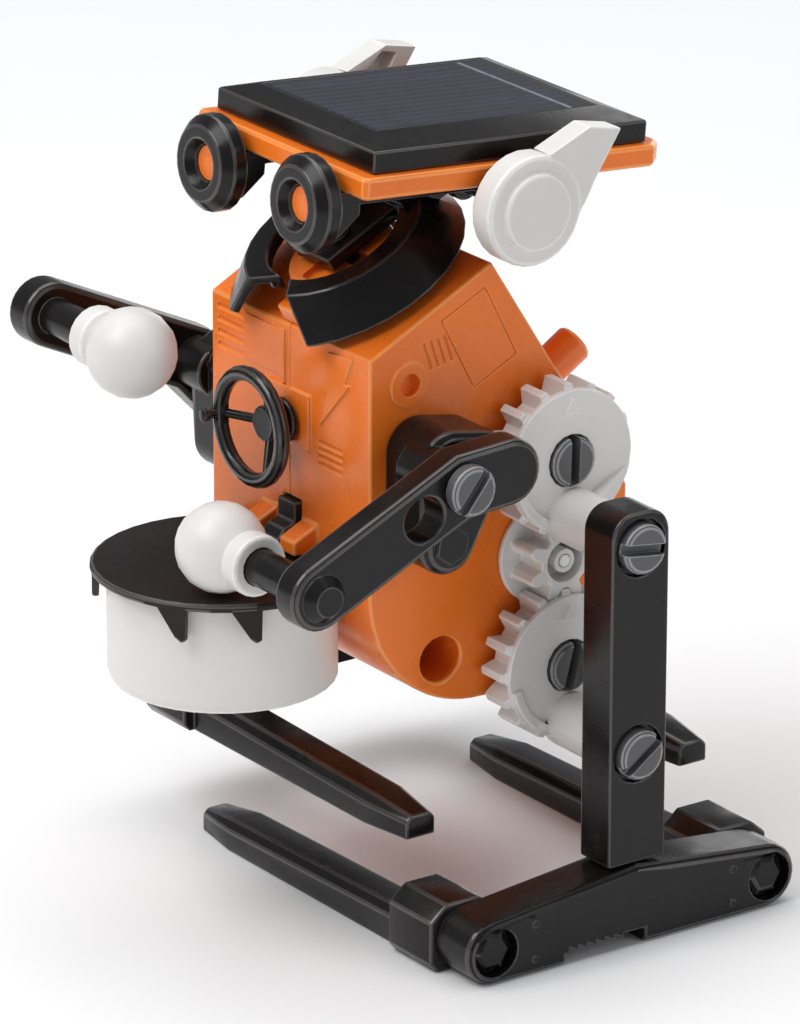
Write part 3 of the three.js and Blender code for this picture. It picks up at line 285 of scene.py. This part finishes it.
FLAT = math.radians(0.8)  # faces that meet at less than this are one face
SHARP = math.radians(27)  # edges that turn by more than this are rounded
SMOOTH = math.radians(24)  # a mesh shaded by its own normals is smooth up to this
WELD = 0.002 * MM
FOLD_AREA = 2e-11  # square metres, below which a folded triangle can't be seen
FOLD_TURN = 0.1  # a triangle is folded when its normal's dot product with its face's is less than this
SPARED = (0.3, 0.6, 1.2, 2.4, 5)  # mm round a fold in which edges stay sharp, tried in turn

# A rounding's width, as a share of the room that its neighbours leave.
BESIDE_ROUNDED = 0.42
BESIDE_PLAIN = 0.8
ACROSS_FACE = 0.42
TO_OTHER_EDGE = 0.4
STRAIGHT_ON = 0.34  # sine of the turn under which an edge counts as running straight on


def gap_between(a, b, c, d):
    """Shortest distance between the segments a-b and c-d, which don't cross."""
    def from_point(p, q, r):
        along = max(0.0, min(1.0, (p - q).dot(r - q) / max((r - q).length_squared, 1e-18)))
        return (p - q - along * (r - q)).length

    return min(from_point(a, c, d), from_point(b, c, d), from_point(c, a, b), from_point(d, a, b))


def edge_room(edge, sharp):
    """How wide a rounding the neighbours of an edge leave room for."""
    a, b = edge.verts
    line = (b.co - a.co).normalized()
    room = 1.0
    for vert in edge.verts:
        for other in vert.link_edges:
            if other == edge:
                continue
            across = (other.other_vert(vert).co - vert.co).cross(line).length
            straight = across < STRAIGHT_ON * other.calc_length()
            if not straight:
                room = min(room, across * (BESIDE_ROUNDED if other in sharp else BESIDE_PLAIN))
    for face in edge.link_faces:
        room = min(room, ACROSS_FACE * max((v.co - a.co).cross(line).length for v in face.verts))
        for other in face.edges:
            if other in sharp and not {a, b} & set(other.verts):
                c, d = other.verts
                room = min(room, TO_OTHER_EDGE * gap_between(a.co, b.co, c.co, d.co))
    return room


def folded(mesh):
    """The faces with a triangle that faces the other way, and the centres of those triangles."""
    mesh.calc_loop_triangles()
    faces, centres = set(), []
    for triangle in mesh.loop_triangles:
        polygon = mesh.polygons[triangle.polygon_index]
        if triangle.area > FOLD_AREA and triangle.normal.dot(polygon.normal) < FOLD_TURN:
            faces.add(polygon.index)
            centres.append(triangle.center.copy())
    return faces, centres


def split_folded(mesh):
    """Splits the folded faces into triangles."""
    faces, _ = folded(mesh)
    if not faces:
        return
    bm = bmesh.new()
    bm.from_mesh(mesh)
    bm.faces.ensure_lookup_table()
    bmesh.ops.triangulate(bm, faces=[bm.faces[i] for i in faces])
    bm.to_mesh(mesh)
    bm.free()


def plain_normals(mesh):
    """Splits the folded faces and shades the mesh by its own normals."""
    split_folded(mesh)
    mesh.attributes.remove(mesh.attributes["custom_normal"])
    mesh.set_sharp_from_angle(angle=SMOOTH)


def spare(mesh, centres, reach):
    """Leaves the edges near these points sharp."""
    weights = mesh.attributes["bevel_weight_edge"].data
    for edge in mesh.edges:
        a, b = (mesh.vertices[i].co for i in edge.vertices)
        if weights[edge.index].value and any(gap_between(a, b, c, c) < reach for c in centres):
            weights[edge.index].value = 0


def rounded_mesh(node, finish, rounding, steps):
    """The node's mesh with its flat faces whole, then its sharp edges rounded."""
    bm = bmesh.new()
    bm.from_mesh(NODES[node].data)
    bmesh.ops.remove_doubles(bm, verts=bm.verts, dist=WELD)
    bmesh.ops.dissolve_limit(bm, angle_limit=FLAT, verts=bm.verts, edges=bm.edges)
    bmesh.ops.recalc_face_normals(bm, faces=bm.faces)
    bmesh.ops.connect_verts_concave(bm, faces=bm.faces)
    weight = bm.edges.layers.float.new("bevel_weight_edge")
    sharp = {e for e in bm.edges if len(e.link_faces) == 2 and e.calc_face_angle(0) > SHARP}
    for edge in sharp:
        edge[weight] = max(0.0, min(1.0, edge_room(edge, sharp) / (rounding * MM)))
    mesh = bpy.data.meshes.new(node + "_rounded")
    bm.to_mesh(mesh)
    bm.free()
    split_folded(mesh)
    mesh.polygons.foreach_set("use_smooth", [True] * len(mesh.polygons))
    mesh.materials.clear()
    for material in FINISH[finish]:
        mesh.materials.append(material)
    mesh.polygons.foreach_set("material_index", [0] * len(mesh.polygons))
    piece = bpy.data.objects.new(node + "_moulded", mesh)
    bpy.context.scene.collection.objects.link(piece)
    bevel = piece.modifiers.new("rounding", "BEVEL")
    bevel.limit_method = "WEIGHT"
    bevel.segments = steps
    # The rounded edges get the finish's second material, whose paler colour on the plastics is a painted
    # highlight.
    bevel.material = 1
    bevel.use_clamp_overlap = False
    bevel.harden_normals = True
    bevel.width = rounding * MM
    even = piece.modifiers.new("even", "WEIGHTED_NORMAL")
    even.keep_sharp = True
    for reach in SPARED:
        bpy.context.view_layer.update()
        made = bpy.data.meshes.new_from_object(piece.evaluated_get(bpy.context.evaluated_depsgraph_get()))
        _, centres = folded(made)
        if not centres:
            break
        spare(mesh, centres, reach * MM)
    if centres:
        plain_normals(made)
    piece.modifiers.clear()
    piece.data = made
    return piece


def moulded(node, finish, rounding, steps=2):
    """Shows the CAD node with each sharp edge rounded as far as its neighbours leave room."""
    piece = rounded_mesh(node, finish, rounding, steps)
    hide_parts(node)
    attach(piece, NODES[node]["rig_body"])
    return piece


def on_sides(*names):
    return [f"{name}_{side}" for name in names for side in SIDES]


MADE_OF = [
    ("orange_plastic", 0.5, ["casing_left", "casing_right", "neck_disc", "head_plate", "tail_peg"]),
    ("orange_plastic", 0.25, ["motor_cradle", *on_sides("eye_core")]),
    ("black_plastic", 0.5, on_sides(
        "leg_bar", "foot_beam", "foot_prong_front", "foot_prong_rear", "shoulder_block", "arm")),
    ("black_plastic", 0.35, [
        "panel_housing", "head_frame", "neck_collar", "neck_post", "steering_wheel", *on_sides("eye_ring")]),
    ("white_plastic", 0.4, ["drum_shell", *on_sides("ear", "hand_ball")]),
    ("white_plastic", 0.3, [
        "lay_gear", "output_wheel", *on_sides("crank_gear_upper", "crank_gear_lower", "output_pinion")]),
    ("grey_plastic", 0.25, on_sides(
        "gear_screw_upper", "gear_screw_lower", "leg_screw_upper", "leg_screw_lower", "arm_screw")),
    ("steel", 0.1, ["motor_can", "motor_shaft", "lay_spindle", "output_shaft"]),
    ("cell", 0.12, ["solar_cell"]),
]
for finish, rounding, names in MADE_OF:
    for name in names:
        moulded(name, finish, rounding)
moulded("drum_lid", "lid_plastic", 0.35)

# ---- Studio ------------------------------------------------------------------------------------

floor_mesh = bpy.data.meshes.new("floor")
bm = bmesh.new()
bmesh.ops.create_grid(bm, x_segments=1, y_segments=1, size=4)
bm.to_mesh(floor_mesh)
bm.free()
floor = bpy.data.objects.new("floor", floor_mesh)
bpy.context.scene.collection.objects.link(floor)
paper = Nodes("paper")
paper.link(paper.ramp(paper.noise(3), [(0.3, (0.94, 0.94, 0.94)), (0.7, (0.96, 0.96, 0.96))]),
           paper.shader.inputs["Base Color"])
paper.shader.inputs["Roughness"].default_value = 0.85
floor_mesh.materials.append(paper.material)

centre = Vector((0, 0, 0.07))


def softbox(name, direction, distance, size, power, colour=(1, 1, 1)):
    data = bpy.data.lights.new(name, "AREA")
    data.shape = "RECTANGLE"
    data.size, data.size_y = size
    data.energy = power
    data.color = colour
    lamp = bpy.data.objects.new(name, data)
    away = direction.normalized()
    lamp.location = centre + distance * away
    lamp.rotation_euler = away.to_track_quat("Z", "Y").to_euler()
    bpy.context.scene.collection.objects.link(lamp)


softbox("key", 0.7 * back - 0.75 * level_right + 0.9 * level_up, 1.4, (0.9, 0.9), 12)
softbox("fill", 0.6 * back + 1.0 * level_right + 0.15 * level_up, 1.5, (0.7, 1.1), 3)
softbox("top", Vector((0, 0, 1)) - 0.25 * back, 1.3, (1.3, 1.0), 9)
softbox("rear", -0.9 * back + 0.5 * level_right + 0.5 * level_up, 1.5, (1.0, 0.7), 4)

world = bpy.data.worlds.new("studio")
world.use_nodes = True
world.node_tree.nodes["Background"].inputs["Color"].default_value = (0.93, 0.95, 1, 1)
world.node_tree.nodes["Background"].inputs["Strength"].default_value = 0.29
bpy.context.scene.world = world
